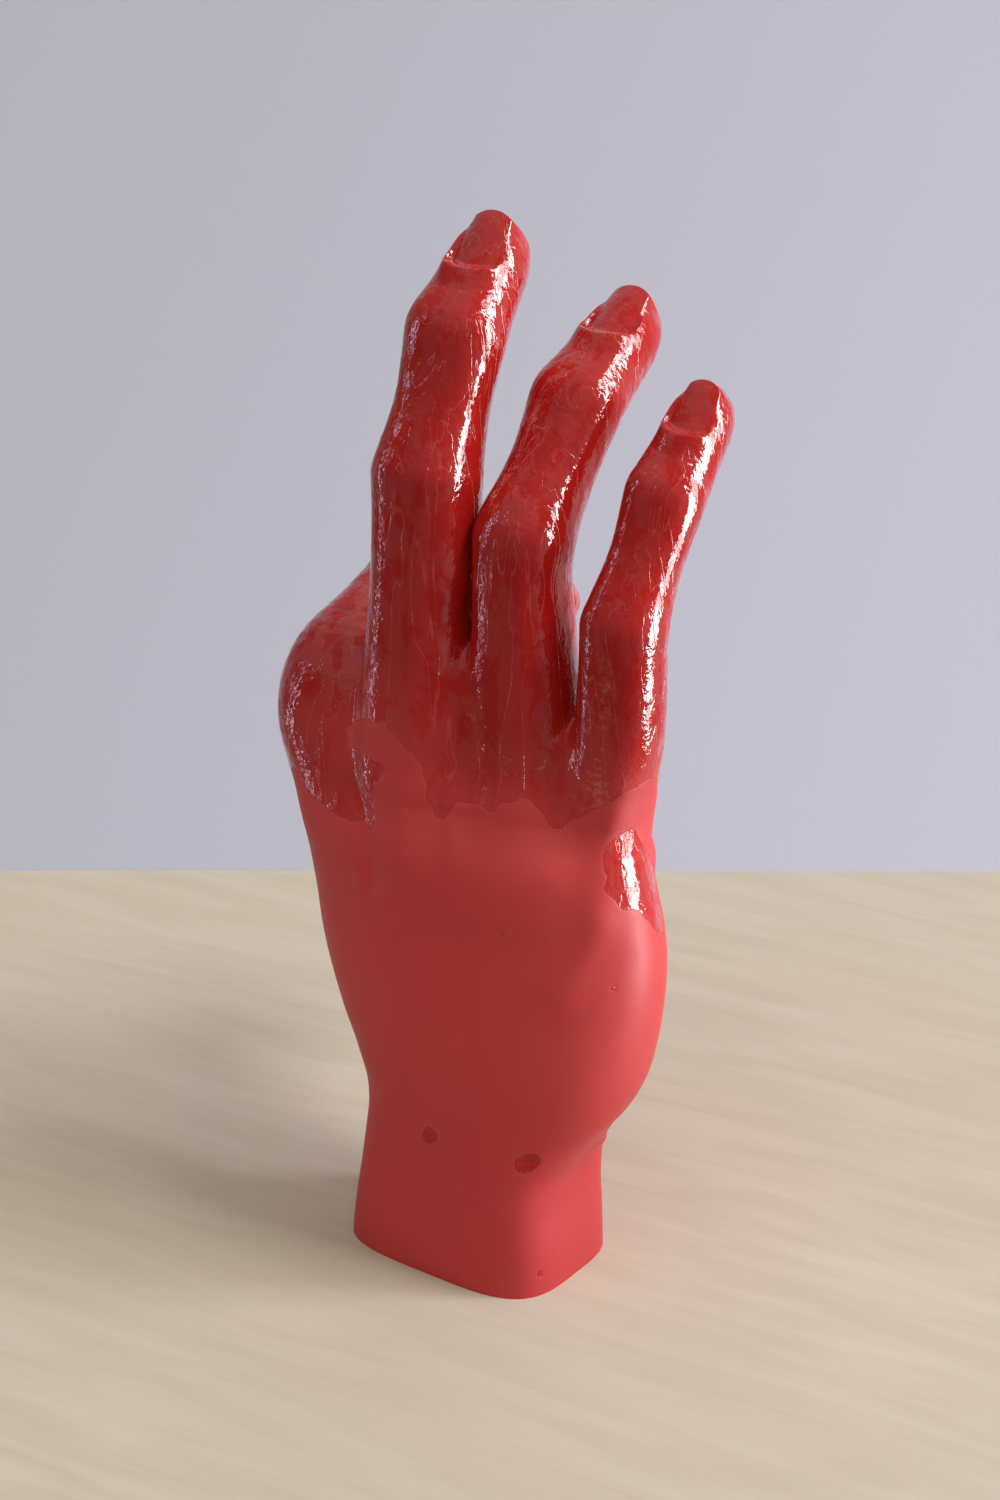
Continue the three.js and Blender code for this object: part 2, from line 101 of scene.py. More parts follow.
# Swells of a digit: place in bones from the knuckle, width, then how far the thumb's side, the little
# finger's side, the back and the pad stand out there
JOINTED = [
    (1.0, 4.5, 0.3, 0.2, 0.4, -0.2), (1.0, 2.0, 0.3, 0.2, 0.3, 0), (1.0, 1.0, 0, 0, 0, -0.5),
    (2.0, 3.2, 0.35, 0.2, 0.7, -0.1), (2.0, 0.9, 0, 0, 0, -0.45),
    (0.62, 9, 0, 0, 0, 0.5), (1.5, 6, -0.15, -0.15, -0.2, 0.4), (2.45, 6, 0.1, 0.1, 0, 0.6),
]
SWELLS = {
    "index": JOINTED + [(0.04, 8, 0, 0, 0.3, 0), (2.0, 9, 0, 0, -0.8, 0)],
    "middle": JOINTED + [(0.36, 14, 1.0, 0.6, 0.5, 0.3), (0.66, 9, 0, 0.3, 0, 0),
                         (0.52, 6, 0, -0.7, 0, 0)],
    "ring": JOINTED + [(0.4, 13, 0.4, 1.5, 0.5, 0.3), (0.84, 7, 0.1, -0.9, 0, 0),
                       (0.68, 6, -0.6, 0, 0, 0)],
    "little": JOINTED + [(0.3, 10, 0.5, 0.2, 0.4, 0.3), (0.1, 10, 1.0, -1.0, 0, 0)],
    "thumb": [(1.0, 5, 0.4, 0.4, 0.5, -0.2), (1.0, 1.0, 0, 0, 0, -0.5), (1.5, 7, 0.2, 0.2, 0, 0.6)],
}
# Sharper bends at the free joints than along the solids
FREE_BEND = dict(index=0.36, middle=0.24, ring=0.24, little=0.32, thumb=0.36)
# Squareness of the back towards the thumb's side and the little finger's side, and of the pad
BACK_SQUARE = dict(
    index=(2.7, 2.7), middle=(3.4, 2.4), ring=(3.3, 2.5), little=(3.0, 2.1), thumb=(2.6, 2.6))
PAD_SQUARE = 2.15
# Nails: half breadth, length, height of the fold over the root, and droop of the free edge
NAILS = dict(
    index=dict(half=5.2, length=12.5, fold=0.4, droop=1.7),
    middle=dict(half=5.5, length=13, fold=1, droop=0.75),
    ring=dict(half=5.4, length=13, fold=1, droop=0.75),
    little=dict(half=4.5, length=11.5, fold=1, droop=0.75),
    thumb=dict(half=6.6, length=14.5, fold=0.8, droop=0.9))


def unit(v):
    v = np.asarray(v, float)
    return v / np.linalg.norm(v, axis=-1, keepdims=True)


def smooth(x):
    x = np.clip(x, 0.0, 1.0)
    return x * x * (3 - 2 * x)


def hump(x, width):
    return np.exp(-((x / width) ** 2))


def spline(places, values, s):
    """Smooth curve through the values at uneven places."""
    places, values = np.asarray(places, float), np.asarray(values, float)
    s = np.clip(s, places[0], places[-1])
    i = np.clip(np.searchsorted(places, s, side="right") - 1, 0, len(places) - 2)
    slope = np.gradient(values, places, axis=0)
    step = places[i + 1] - places[i]
    t = (s - places[i]) / step
    return ((2 * t**3 - 3 * t**2 + 1) * values[i] + (t**3 - 2 * t**2 + t) * step * slope[i]
            + (3 * t**2 - 2 * t**3) * values[i + 1] + (t**3 - t**2) * step * slope[i + 1])


class Noise:
    """Smooth lattice noise from -1 to 1."""

    TABLE = 4096

    def __init__(self, seed):
        self.table = np.random.default_rng(seed).uniform(-1, 1, self.TABLE)

    def at(self, p):
        base = np.floor(p).astype(np.int64)
        f = p - base
        f = f * f * (3 - 2 * f)
        total = np.zeros(len(p))
        for corner in range(8):
            o = np.array([corner & 1, corner >> 1 & 1, corner >> 2 & 1])
            c = base + o
            key = (c[:, 0] * 73856093 ^ c[:, 1] * 19349663 ^ c[:, 2] * 83492791) & (self.TABLE - 1)
            weight = np.prod(np.where(o == 1, f, 1 - f), axis=1)
            total += weight * self.table[key]
        return total


# Skeleton

class Digit:
    """Centre line of a digit with its sizes along it, from inside the palm to the tip."""

    BEND_POINTS, STRAIGHT_POINTS, SIZES_PER_MM = 61, 40, 5
    # The root is cut into straight pieces, one for each so many points of the knuckle's bend
    ROOT_EVERY = 6

    def __init__(self, name, joints, hinge, breadths, depths, seat):
        self.name, self.joints, self.hinge = name, joints, unit(hinge)
        points, places = [joints[0]], [0.0]
        reached, start = 0.0, joints[0]
        shares = np.linspace(0, 1, self.STRAIGHT_POINTS)[:, None]
        for i in range(1, len(joints) - 1):
            bend = breadths[2 * i] * (JOINT_BEND if i == 1 else FREE_BEND[name])
            before = joints[i] + unit(joints[i - 1] - joints[i]) * bend
            after = joints[i] + unit(joints[i + 1] - joints[i]) * bend
            t = np.linspace(0, 1, self.BEND_POINTS)[:, None]
            arc = (1 - t) ** 2 * before + 2 * t * (1 - t) * joints[i] + t**2 * after
            arc_length = np.linalg.norm(np.diff(arc, axis=0), axis=1).sum()
            place = reached + np.linalg.norm(before - start) + arc_length / 2
            places += [(places[-1] + place) / 2, place]
            reached += np.linalg.norm(before - start) + arc_length
            if i == 1:
                root = [joints[0], *arc[::self.ROOT_EVERY]]
            points += list(start + (before - start) * shares[1:-1]) + list(arc)
            start = after
        points += list(start + (joints[-1] - start) * shares[1:])
        self.length = reached + np.linalg.norm(joints[-1] - start)
        places += [(places[-1] + self.length) / 2, self.length]
        self.places = places
        last = len(breadths) - 1
        self.fine = np.linspace(0, self.length, int(self.length * self.SIZES_PER_MM))
        halves = []
        for sizes in (breadths, breadths, depths, depths):
            values = [sizes[min(i, last)] / 2 for i in range(len(places))]
            halves.append(spline(places, values, self.fine))
        for place, width, *adds in SWELLS[name]:
            at = np.interp(place, np.arange(len(joints) - 1), places[2::2])
            for side, add in enumerate(adds):
                halves[side] += add * hump(self.fine - at, width)
        self.halves = halves
        self.line = np.array(points)
        steps = np.linalg.norm(np.diff(self.line, axis=0), axis=1)
        self.arc = np.concatenate([[0], np.cumsum(steps)]) * self.length / steps.sum()
        self.tangents = unit(np.gradient(self.line, self.arc, axis=0))
        self.round = breadths[-1] * TIP_ROUND[name]
        self.seat = places[2] + seat
        root_end = self.frame_at(self.seat + ROOT_END)[0]
        self.root = np.array(root + [root_end])
        root_steps = np.linalg.norm(np.diff(self.root, axis=0), axis=1)
        self.root_arc = np.concatenate([[0], np.cumsum(root_steps)])

    def frame(self, s):
        """Centre line and the directions along, across and inward at places along it."""
        clipped = np.clip(s, 0, self.length)
        centre = np.stack([np.interp(clipped, self.arc, self.line[:, k]) for k in range(3)], -1)
        along = unit(np.stack([np.interp(clipped, self.arc, self.tangents[:, k]) for k in range(3)], -1))
        across = unit(self.hinge - along * (along @ self.hinge)[..., None])
        centre = centre + along * (s - clipped)[..., None]
        return centre, along, across, np.cross(along, across)

    def frame_at(self, s):
        """Centre and directions at one place."""
        return [v[0] for v in self.frame(np.array([s]))]

    def half(self, s):
        """Half sizes to the thumb's side, the little finger's side, the back and the pad."""
        return [np.interp(s, self.fine, half) for half in self.halves]


def finger_joints(finger, x):
    lean, yaw = math.radians(finger["lean"]), math.radians(finger["yaw"])

    def turned(v):
        return np.array([v[0] * math.cos(yaw) + v[1] * math.sin(yaw),
                         -v[0] * math.sin(yaw) + v[1] * math.cos(yaw), v[2]])

    knuckle = np.array([x, *finger["knuckle"]], float)
    joints = [np.array([x * PALM_FOOT["spread"], PALM_FOOT["y"], PALM_FOOT["z"]]), knuckle]
    bend = 0
    for bone, turn in zip(finger["bones"], finger["bends"]):
        bend += math.radians(turn)
        along = turned((math.sin(lean) * math.cos(bend), math.sin(bend), math.cos(lean) * math.cos(bend)))
        joints.append(joints[-1] + along * bone)
    return joints, turned((math.cos(lean), 0, -math.sin(lean)))


digits = {}
edge = ROW_X - (sum(f["breadths"][3] for f in FINGERS.values()) + sum(ROOT_GAPS)) / 2
for (name, finger), gap in zip(FINGERS.items(), ROOT_GAPS):
    joints, hinge = finger_joints(finger, edge + finger["breadths"][3] / 2)
    edge += finger["breadths"][3] + gap
    digits[name] = Digit(name, joints, hinge, finger["breadths"], finger["depths"], finger["seat"])


def thumb_joints():
    index = digits["index"]
    centre, along, _, inward = index.frame_at(index.length - index.round)
    pad = THUMB["breadths"][-1] * TIP_ROUND["thumb"]
    side = unit(inward + along * PINCH_LEAN)
    target = centre + side * (FINGERS["index"]["depths"][-1] / 2 + pad + PINCH_GAP)
    root, knuckle = np.array(THUMB["root"], float), np.array(THUMB["knuckle"], float)
    span = np.linalg.norm(target - knuckle)
    line = (target - knuckle) / span
    first, second = THUMB["bones"][0], THUMB["bones"][1] - pad
    turn = math.acos(np.clip((first**2 + span**2 - second**2) / (2 * first * span), -1, 1))
    outward = np.array(THUMB["outward"])
    outward = unit(outward - line * (outward @ line))
    joint = knuckle + line * first * math.cos(turn) + outward * first * math.sin(turn)
    end = joint + unit(target - joint) * THUMB["bones"][1]
    return [root, knuckle, joint, end], np.cross(line, outward)


joints, hinge = thumb_joints()
digits["thumb"] = Digit("thumb", joints, hinge, THUMB["breadths"], THUMB["depths"], THUMB["seat"])


# Distance to the palm with the roots of the digits

# Reach of a digit's root around its centre line, its blend with the palm and the length this fades over
ROOT_REACH = 24
BLEND, THUMB_BLEND, BLEND_FADE = 6.0, 9.0, 10
TINY = 1e-7


def super_distance(terms, n):
    """About the distance to a rounded box-like form; terms are (offset, half size)."""
    ratios = [np.abs(a) / r + TINY for a, r in terms]
    f = sum(q**n for q in ratios) ** (1 / n)
    g = f ** (1 - n) * np.sqrt(sum((q ** (n - 1) / r) ** 2 for q, (a, r) in zip(ratios, terms)))
    smallest = np.minimum.reduce([np.broadcast_to(r, f.shape) for a, r in terms])
    # The slope runs out towards the middle, so it is held up there
    return (f - 1) / np.maximum(g, 0.3 / np.maximum(smallest * 3, 1))


def smooth_min(a, b, k):
    """Smaller of two distances, rounded over where they differ by less than k."""
    k = np.maximum(k, 1e-6)
    h = np.maximum(k - np.abs(a - b), 0) / k
    return np.minimum(a, b) - h * h * k / 4


def body_distance(p):
    """Distance to wrist and palm without the digits' roots."""
    z = p[:, 2]
    zc = np.clip(z, SECTIONS[0, 0], SECTIONS[-1, 0])
    fine = np.linspace(SECTIONS[0, 0], SECTIONS[-1, 0], SECTION_STEPS)
    cx, cy, breadth, depth, square, turn = (
        np.interp(zc, fine, spline(SECTIONS[:, 0], SECTIONS[:, k], fine)) for k in range(1, 7))
    x, y, turn = p[:, 0] - cx, p[:, 1] - cy, np.radians(turn)
    across, inward = x * np.cos(turn) + y * np.sin(turn), y * np.cos(turn) - x * np.sin(turn)
    terms = [(across, breadth / 2), (inward, depth / 2), (z - zc, np.full(len(p), DOME))]
    return super_distance(terms, square)


def squareness(name, u, v):
    """Squareness of a digit's section by quarter; u grows to the little finger's side, v to the pad."""
    thumb_side, little_side = BACK_SQUARE[name]
    return np.where(v > 0, PAD_SQUARE, np.where(u > 0, little_side, thumb_side))


def root_distance(digit, p):
    """Distance to the root of a digit, and the place along its centre line."""
    best = np.full(len(p), np.inf)
    place = np.zeros(len(p))
    for i in range(len(digit.root) - 1):
        a, b = digit.root[i], digit.root[i + 1]
        length = np.linalg.norm(b - a)
        t = np.clip((p - a) @ ((b - a) / length), 0, length)
        q = p - a - t[:, None] * ((b - a) / length)
        d2 = np.einsum("ij,ij->i", q, q)
        nearer = d2 < best
        best = np.where(nearer, d2, best)
        place = np.where(nearer, digit.root_arc[i] + t, place)
    centre, along, across, inward = digit.frame(place)
    q = p - centre
    u = np.einsum("ij,ij->i", q, across)
    v = np.einsum("ij,ij->i", q, inward)
    w = np.einsum("ij,ij->i", q, along)
    thumb_side, little_side, back, pad = digit.half(place)
    half_b, half_d = np.where(u > 0, little_side, thumb_side), np.where(v > 0, pad, back)
    n = squareness(digit.name, u, v)
    return super_distance([(u, half_b), (v, half_d), (w, (half_b + half_d) / 2)], n), place


def palm_distance(p):
    d = body_distance(p)
    for name, digit in digits.items():
        low = digit.root.min(0) - ROOT_REACH
        high = digit.root.max(0) + ROOT_REACH
        near = np.all((p > low) & (p < high), axis=1)
        if not near.any():
            continue
        root, place = root_distance(digit, p[near])
        blend = THUMB_BLEND if name == "thumb" else BLEND
        fade = smooth((digit.seat - ROOT_END - place) / BLEND_FADE)
        d[near] = smooth_min(d[near], root, blend * fade)
    return d


def gradient(field, p, step=0.05):
    g = np.empty_like(p)
    for k in range(3):
        e = np.zeros(3)
        e[k] = step
        g[:, k] = (field(p + e) - field(p - e)) / (2 * step)
    return g


# Points of the grid worked out at once
CHUNK = 200000


def surface(field, low, high, step, block=4):
    """Quads over the zero surface of a distance, one point per mixed cell of a grid."""
    low = np.asarray(low, float)
    cells = np.ceil((np.asarray(high) - low) / (step * block)).astype(int)
    grid = np.stack(np.meshgrid(*[np.arange(n) for n in cells], indexing="ij"), -1).reshape(-1, 3)
    centre = field(low + (grid + 0.5) * step * block).reshape(cells)
    # Only blocks near the surface are worked out finely
    close = np.abs(centre) < step * block * 1.25 + 0.5
    filled = centre
    for k in range(3):
        close = np.repeat(close, block, k)
        filled = np.repeat(filled, block, k)
    nx, ny, nz = close.shape
    shifts = [np.s_[i:i + nx, j:j + ny, k:k + nz] for i in (0, 1) for j in (0, 1) for k in (0, 1)]
    need = np.zeros((nx + 1, ny + 1, nz + 1), bool)
    for shift in shifts:
        need[shift] |= close
    value = np.pad(filled, ((0, 1),) * 3, mode="edge")
    nodes = np.argwhere(need)
    values = np.empty(len(nodes))
    for i in range(0, len(nodes), CHUNK):
        values[i:i + CHUNK] = field(low + nodes[i:i + CHUNK] * step)
    value[need] = values
    inside = value < 0
    count = sum(inside[shift].astype(np.int8) for shift in shifts)
    mixed = (count > 0) & (count < len(shifts))
    cell = np.argwhere(mixed)
    number = np.full(mixed.shape, -1)
    number[mixed] = np.arange(len(cell))
    total, hits = np.zeros((len(cell), 3)), np.zeros(len(cell))
    for axis in range(3):
        along = np.eye(3, dtype=int)[axis]
        others = [np.eye(3, dtype=int)[k] for k in range(3) if k != axis]
        for i in (0, 1):
            for j in (0, 1):
                a = cell + i * others[0] + j * others[1]
                b = a + along
                va, vb = value[tuple(a.T)], value[tuple(b.T)]
                cross = (va < 0) != (vb < 0)
                t = np.where(cross, va / np.where(cross, va - vb, 1), 0)
                total += np.where(cross[:, None], a + t[:, None] * along, 0)
                hits += cross
    points = low + step * total / hits[:, None]
    quads = []
    for axis in range(3):
        others = [k for k in range(3) if k != axis]
        first = [slice(1, -1)] * 3
        second = [slice(1, -1)] * 3
        first[axis], second[axis] = slice(0, -1), slice(1, None)
        a, b = inside[tuple(first)], inside[tuple(second)]
        edges = np.argwhere(a != b)
        sign = a[tuple(edges.T)]
        for k in others:
            edges[:, k] += 1
        corners = []
        for i, j in ((0, 0), (1, 0), (1, 1), (0, 1)):
            c = edges.copy()
            c[:, others[0]] -= i
            c[:, others[1]] -= j
            corners.append(number[tuple(c.T)])
        quad = np.stack(corners, 1)
        flip = sign if axis != 1 else ~sign
        quads.append(np.where(flip[:, None], quad[:, ::-1], quad))
    return points, np.concatenate(quads)


def relax(field, points, quads, rounds=4):
    """Evens the points out along the surface and puts them on it."""
    a = np.concatenate([quads[:, [0, 1]], quads[:, [1, 2]], quads[:, [2, 3]], quads[:, [3, 0]]])
    count = np.bincount(a[:, 0], minlength=len(points))
    for _ in range(rounds):
        mean = np.zeros_like(points)
        for k in range(3):
            mean[:, k] = np.bincount(a[:, 0], points[a[:, 1], k], len(points))
        points = points + 0.5 * (mean / count[:, None] - points)
        g = gradient(field, points)
        d = field(points)
        points = points - g * (d / np.maximum(np.einsum("ij,ij->i", g, g), 0.05))[:, None]
    return points


def facing(points, quads):
    """Unit normals of the points."""
    a = np.cross(points[quads[:, 2]] - points[quads[:, 0]], points[quads[:, 3]] - points[quads[:, 1]])
    n = np.zeros_like(points)
    for c in range(4):
        for k in range(3):
            n[:, k] += np.bincount(quads[:, c], a[:, k], len(points))
    return unit(n)


# Lacquer: how far a point of the palm lies inside the lacquered part

# Millimetres per radian around the palm, and a little over half of the way around
ROUND_SCALE, HALF_ROUND = 36, 113.2


def round_place(p):
    """Place around the palm, from the middle of its back towards the little finger, and height."""
    zc = np.clip(p[:, 2], SECTIONS[0, 0], SECTIONS[-1, 0])
    cx, cy, breadth, depth = (np.interp(zc, SECTIONS[:, 0], SECTIONS[:, k]) for k in range(1, 5))
    angle = np.arctan2((p[:, 0] - cx) / breadth, -(p[:, 1] - cy) / depth)
    return np.stack([angle * ROUND_SCALE, p[:, 2]], 1)


# Lower edge of the lacquer around the palm (place around, height), with a bare tongue between index and
# middle finger
BORDER = [
    (-HALF_ROUND, 98), (-104, 95), (-95, 99), (-84, 94), (-74, 98), (-60, 95), (-48, 98), (-36, 98),
    (-33, 95), (-28, 93), (-16, 92), (-14, 94), (-14, 99), (-10, 105), (-16, 106), (-24, 106),
    (-27, 109), (-26, 111), (-15, 114), (-11, 114), (-5, 109), (-3, 106), (-2, 100), (0, 97), (2, 97),
    (4, 101), (11, 100), (15, 102), (21, 103), (25, 101), (27, 98), (30, 98), (34, 100), (37, 104),
    (41, 107), (51, 108), (62, 108), (70, 104), (78, 101), (86, 96), (95, 99), (104, 96),
    (HALF_ROUND, 98),
]
# A separate patch on the heel of the hand, and small drops with their radius
PATCH = [
    (38, 95), (40, 97), (44, 98), (50, 98), (55, 96), (62, 92), (66, 86), (65, 79), (61, 75), (57, 76),
    (51, 80), (45, 83), (40, 84), (38, 86), (36, 88), (38, 90), (37, 92),
]
DROPS = [
    (-7, 31, 1.6), (-7.5, 32, 1.1), (23, 30, 2.2), (30.5, 5, 0.7), (12.5, 78, 0.45), (36.5, 68, 0.4),
]
# Height of a drop by its breadth, and thickness of the film
DROP_ASPECT, FILM = 0.66, 0.13
# The thumb's lacquer starts so far before its knuckle, on what lies so near to its root
THUMB_EDGE, THUMB_NEAR = 4, 4
# Waves of the thumb's edge and of all edges: height, and waves per millimetre
THUMB_WAVE = (3, 0.12)
EDGE_WAVES = [(0.7, 0.4), (0.3, 1.1)]
# A height over the whole hand, and a depth well inside the lacquer
OVER_HAND, WELL_INSIDE = 400, 20
edge_noise = Noise(7)


def outline_distance(q, outline):
    """Distance of flat points to a closed outline, above 0 inside it."""
    outline = np.asarray(outline, float)
    best, inside = np.full(len(q), np.inf), np.zeros(len(q), bool)
    for a, b in zip(outline, np.roll(outline, -1, axis=0)):
        e = b - a
        t = np.clip((q - a) @ e / max(e @ e, 1e-9), 0, 1)
        off = q - a - t[:, None] * e
        best = np.minimum(best, np.einsum("ij,ij->i", off, off))
        if a[1] != b[1]:
            spans = (a[1] > q[:, 1]) != (b[1] > q[:, 1])
            inside ^= spans & (q[:, 0] < (b[0] - a[0]) * (q[:, 1] - a[1]) / (b[1] - a[1]) + a[0])
    return np.where(inside, 1, -1) * np.sqrt(best)


def drop_distance(q, drop):
    """Distance of flat points to the middle of a drop."""
    around, height, _ = drop
    return np.hypot((q[:, 0] - around) * DROP_ASPECT, q[:, 1] - height)


def lacquer(p):
    """How far inside the lacquer's edge a point is, about in millimetres."""
    q = round_place(p)
    depth = outline_distance(q, BORDER + [(HALF_ROUND, OVER_HAND), (-HALF_ROUND, OVER_HAND)])
    depth = np.maximum(depth, outline_distance(q, PATCH))
    root, place = root_distance(digits["thumb"], p)
    height, per_mm = THUMB_WAVE
    reach = digits["thumb"].places[2] - THUMB_EDGE + height * edge_noise.at(p * per_mm)
    on_thumb = np.where(root < THUMB_NEAR, np.minimum(place - reach, WELL_INSIDE), -WELL_INSIDE)
    depth = np.maximum(depth, on_thumb)
    for height, per_mm in EDGE_WAVES:
        depth = depth + height * edge_noise.at(p * per_mm)
    for drop in DROPS:
        depth = np.maximum(depth, drop[2] - drop_distance(q, drop))
    return depth


# Meshes

def add_piece(name, points, faces):
    mesh = bpy.data.meshes.new(name)
    mesh.from_pydata((points * MM).tolist(), [], faces)
    piece = bpy.data.objects.new(name, mesh)
    bpy.context.scene.collection.objects.link(piece)
    return piece


def sharp(edges):
    for e in edges:
        e.smooth = False


def sink(bm, opening, rim, move):
    """Closes a flat opening around a rim of points and sinks the rim to a blind hole."""
    following = rim[1:] + rim[:1]
    edges = opening + [bm.edges.new(pair) for pair in zip(rim, following)]
    bmesh.ops.triangle_fill(bm, use_beauty=True, edges=edges)
    end = [bm.verts.new(v.co + move) for v in rim]
    for corners in zip(rim, following, end[1:] + end[:1], end):
        bm.faces.new(corners)
    sharp(bm.faces.new(end).edges)
    sharp(edges)


def sink_bore(bm, opening, seat, depth, sides=24):
    """Closes the end of a digit or of its stub around the dowel's bore, with the depth along the digit."""
    centre, along, across, inward = seat
    rim = []
    for i in range(sides):
        a = 2 * math.pi * i / sides
        out = math.cos(a) * across + math.sin(a) * inward
        rim.append(bm.verts.new((centre + BORE_RADIUS * out) * MM))
    sink(bm, opening, rim, Vector(along * depth * MM))


def finish_mesh(bm, mesh):
    """Writes a mesh back with its faces turned outwards and shaded smooth."""
    bmesh.ops.recalc_face_normals(bm, faces=bm.faces[:])
    for f in bm.faces:
        f.smooth = True
    bm.to_mesh(mesh)
    bm.free()


def add_lacquer(piece, value=None):
    """Keeps the depth inside the lacquer's edge at each point of a piece, for the material."""
    mesh = piece.data
    points = np.empty(len(mesh.vertices) * 3)
    mesh.vertices.foreach_get("co", points)
    points = points.reshape(-1, 3) / MM
    layer = mesh.attributes.new("lac", "FLOAT", "POINT")
    values = lacquer(points) if value is None else np.full(len(points), float(value))
    layer.data.foreach_set("value", values.astype(np.float32))


# Tendons, valleys, knuckle row and creases of the palm: width, height, line of places around and heights
FORMS = [
    (2.4, 0.8, [(-22, 106), (-18, 96), (-16, 86), (-16, 76)]),
    (3.5, -0.35, [(-8, 106), (-7, 92), (-7, 80)]),
    (3.2, -0.5, [(2, 119), (2, 108), (3, 98), (4, 86)]),
    (4.5, 0.3, [(36, 106), (33, 98), (27, 82), (23, 72)]),
    (8, 1.2, [(-8, 107), (6, 105), (18, 104), (28, 102), (40, 98)]),
    (4.5, -0.6, [(36, 89), (34, 83), (28, 74), (20, 60)]),
    (1.1, -0.7, [(64, 86), (84, 92), (103, 95), (HALF_ROUND, 97)]),
    (1.1, -0.7, [(-HALF_ROUND, 97), (-107, 100), (-100, 105)]),
    (1.1, -0.7, [(-84, 94), (-98, 89), (-HALF_ROUND, 84)]),
    (1.1, -0.7, [(HALF_ROUND, 84), (98, 79), (86, 72)]),
    (1.2, -0.8, [(-83, 93), (-94, 84), (-102, 70), (-104, 54), (-98, 38)]),
    (0.9, -0.4, [(-110, 26), (-70, 24), (-45, 27)]),
    (0.9, -0.4, [(110, 26), (80, 24), (55, 27)]),
]
# Of so many equal parts of its line, a form fades out over the first and the last
FORM_ENDS = 4
# The film starts this far outside its edge and is full twice as far inside it
FILM_EDGE = 0.3
# Rise of a drop by its radius, the largest radius that counts for it, and flank of a drop by its radius
DROP_RISE, DROP_FULL, DROP_FLANK = 0.22, 1.2, 0.8


def line_distance(q, line):
    """Distance of flat points to an open line, and the share of the line passed there."""
    line = np.asarray(line, float)
    lengths = np.linalg.norm(np.diff(line, axis=0), axis=1)
    best, share, passed = np.full(len(q), np.inf), np.zeros(len(q)), 0.0
    for a, b, length in zip(line[:-1], line[1:], lengths):
        t = np.clip((q - a) @ (b - a) / length**2, 0, 1)
        off = np.linalg.norm(q - a - t[:, None] * (b - a), axis=1)
        share = np.where(off < best, (passed + t * length) / lengths.sum(), share)
        best = np.minimum(best, off)
        passed += length
    return best, share


def palm_relief(p):
    """Height of tendons and creases, and of the lacquer's film and drops over the bare resin."""
    relief = FILM * (smooth((lacquer(p) + FILM_EDGE) / (3 * FILM_EDGE)) - 1)
    q = round_place(p)
    for width, height, line in FORMS:
        off, share = line_distance(q, line)
        relief += height * hump(off, width) * smooth(FORM_ENDS * share) * smooth(FORM_ENDS * (1 - share))
    for drop in DROPS:
        radius = drop[2]
        rise = DROP_RISE * min(radius, DROP_FULL)
        relief += rise * smooth((radius + FILM_EDGE - drop_distance(q, drop)) / (DROP_FLANK * radius))
    return relief


# Grid over the palm: step, lowest and highest corner
PALM_STEP, PALM_LOW, PALM_HIGH = 0.62, (-56, -24, -5), (46, 52, 150)
# A stub is cut among faces from so far below its seat, and its rim lies within this radius of it
STUB_BELOW, STUB_RADIUS = 3, 16
ON_PLANE = 1e-3
POCKET_SIDES = 72


def cut_stubs(bm, middles):
    """Cuts the roots of the digits off at their seats and closes them around the dowels' bores."""
    nearest = np.argmin([root_distance(digit, middles)[0] for digit in digits.values()], axis=0)
    seats = [digit.frame_at(digit.seat) for digit in digits.values()]
    stubs = []
    for number, (centre, along, _, _) in enumerate(seats):
        above = (middles - centre) @ along > -STUB_BELOW
        near = np.linalg.norm(middles - centre, axis=1) < ROOT_REACH
        stubs.append([bm.faces[i] for i in np.flatnonzero((nearest == number) & above & near)])
    for seat, stub in zip(seats, stubs):
        centre, along, _, _ = seat
        parts = {}
        for f in stub:
            if f.is_valid:
                parts.update(dict.fromkeys([f, *f.verts, *f.edges]))
        bmesh.ops.bisect_plane(bm, geom=list(parts), plane_co=Vector(centre * MM),
                               plane_no=Vector(along), clear_outer=True)
        rim = [e for e in bm.edges if e.is_boundary
               and abs((np.array(e.verts[0].co) / MM - centre) @ along) < ON_PLANE
               and np.linalg.norm(np.array(e.verts[0].co) / MM - centre) < STUB_RADIUS]
        sink_bore(bm, rim, seat, -BORE_IN_PALM)


def open_foot(bm):
    """Cuts the wrist off flat and opens the pocket for slug and plug in its underside."""
    bmesh.ops.bisect_plane(bm, geom=bm.verts[:] + bm.edges[:] + bm.faces[:],
                           plane_co=(0, 0, 0), plane_no=(0, 0, -1), clear_outer=True)
    foot = [e for e in bm.edges if e.is_boundary]
    power = 2 / POCKET["squareness"]
    rim = []
    for i in range(POCKET_SIDES):
        a = 2 * math.pi * i / POCKET_SIDES
        c, s = math.cos(a), math.sin(a)
        x = POCKET["x"] + POCKET["breadth"] / 2 * math.copysign(abs(c) ** power, c)
        y = POCKET["y"] + POCKET["depth"] / 2 * math.copysign(abs(s) ** power, s)
        rim.append(bm.verts.new((MM * x, MM * y, 0)))
    sink(bm, foot, rim, Vector((0, 0, POCKET["height"] * MM)))


def make_palm():
    points, quads = surface(palm_distance, PALM_LOW, PALM_HIGH, PALM_STEP)
    points = relax(palm_distance, points, quads)
    points = points + facing(points, quads) * palm_relief(points)[:, None]
    piece = add_piece("palm_casting_body", points, quads.tolist())
    bm = bmesh.new()
    bm.from_mesh(piece.data)
    bm.faces.ensure_lookup_table()
    cut_stubs(bm, points[quads].mean(axis=1))
    open_foot(bm)
    finish_mesh(bm, piece.data)
    add_lacquer(piece)
    return piece


